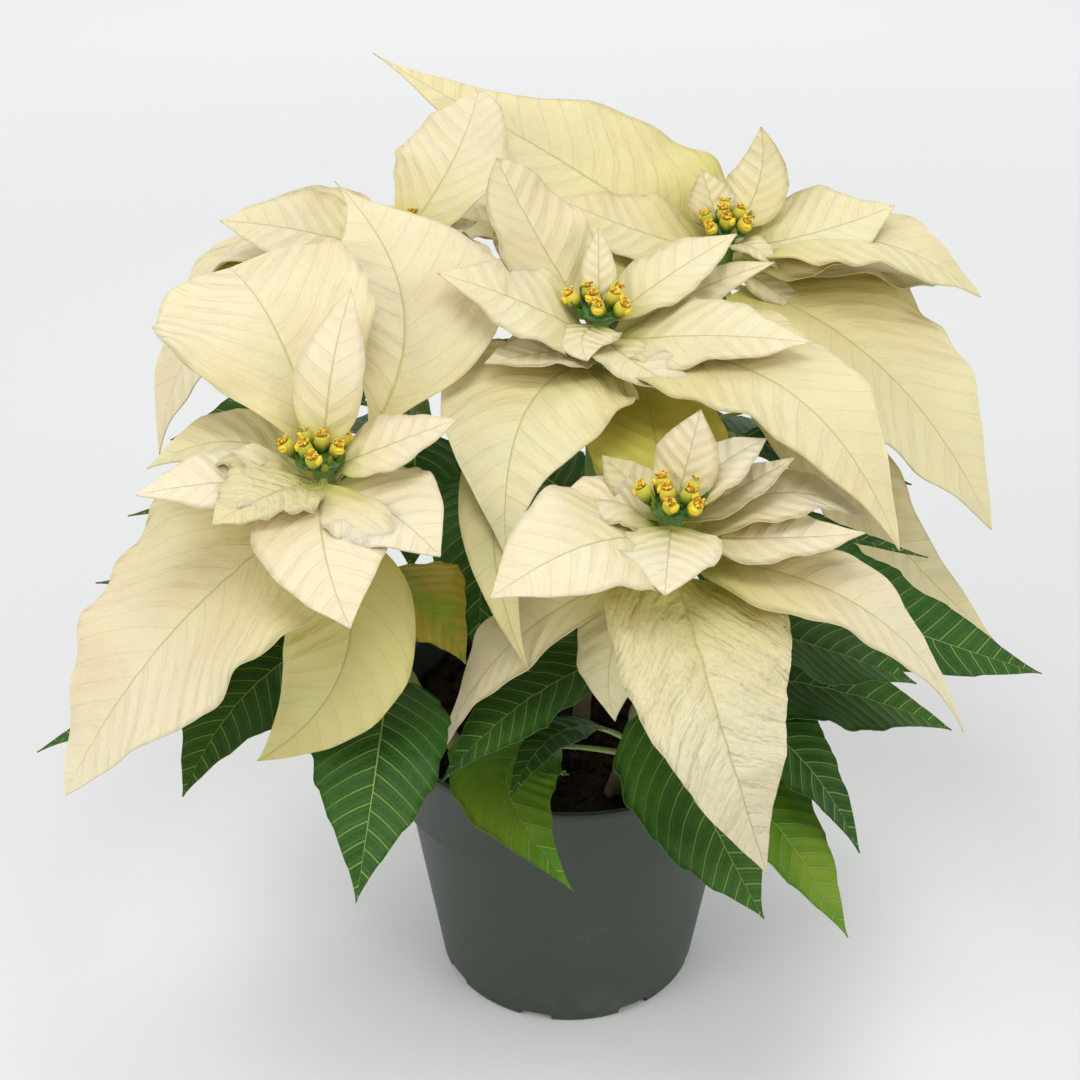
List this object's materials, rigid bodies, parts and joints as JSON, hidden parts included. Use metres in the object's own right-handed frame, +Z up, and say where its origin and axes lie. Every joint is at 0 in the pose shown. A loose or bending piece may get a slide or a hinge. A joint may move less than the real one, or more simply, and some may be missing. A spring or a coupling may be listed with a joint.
{
  "type": "potted poinsettia",
  "caption": "White poinsettia in a plastic nursery pot: blooms of broad cream bracts round small green cups, over dark green pointed leaves on canes that stand in soil.",
  "frame": {"origin": "centre of the pot's flat bottom, where the plant rests", "axes": "+Z up along the pot's axis; -Y towards the front, where the two lowest blooms and the big drooping bract are; +X to the right seen from the front"},
  "size_m": [0.4106, 0.451, 0.3898],
  "materials": {
    "pot": "matt injection-moulded polypropylene, dark grey green",
    "soil": "moist dark peat",
    "leaf": "satin leaf with pale veins",
    "bract": "soft cream bract, thin and slightly translucent",
    "cyathia": "green cups with yellow glands"
  },
  "bodies": {
    "root": {"pot": "pot", "soil": "soil", "leafy_stem_a": "leaf", "leafy_stem_b": "leaf", "leafy_stem_c": "leaf", "leafy_stem_d": "leaf", "leafy_stem_e": "leaf", "leafy_stem_f": "leaf", "bracts_a": "bract", "bracts_b": "bract", "bracts_c": "bract", "bracts_d": "bract", "bracts_e": "bract", "bracts_f": "bract", "cyathia_a": "cyathia", "cyathia_b": "cyathia", "cyathia_c": "cyathia", "cyathia_d": "cyathia", "cyathia_e": "cyathia", "cyathia_f": "cyathia"}
  },
  "joints": []
}
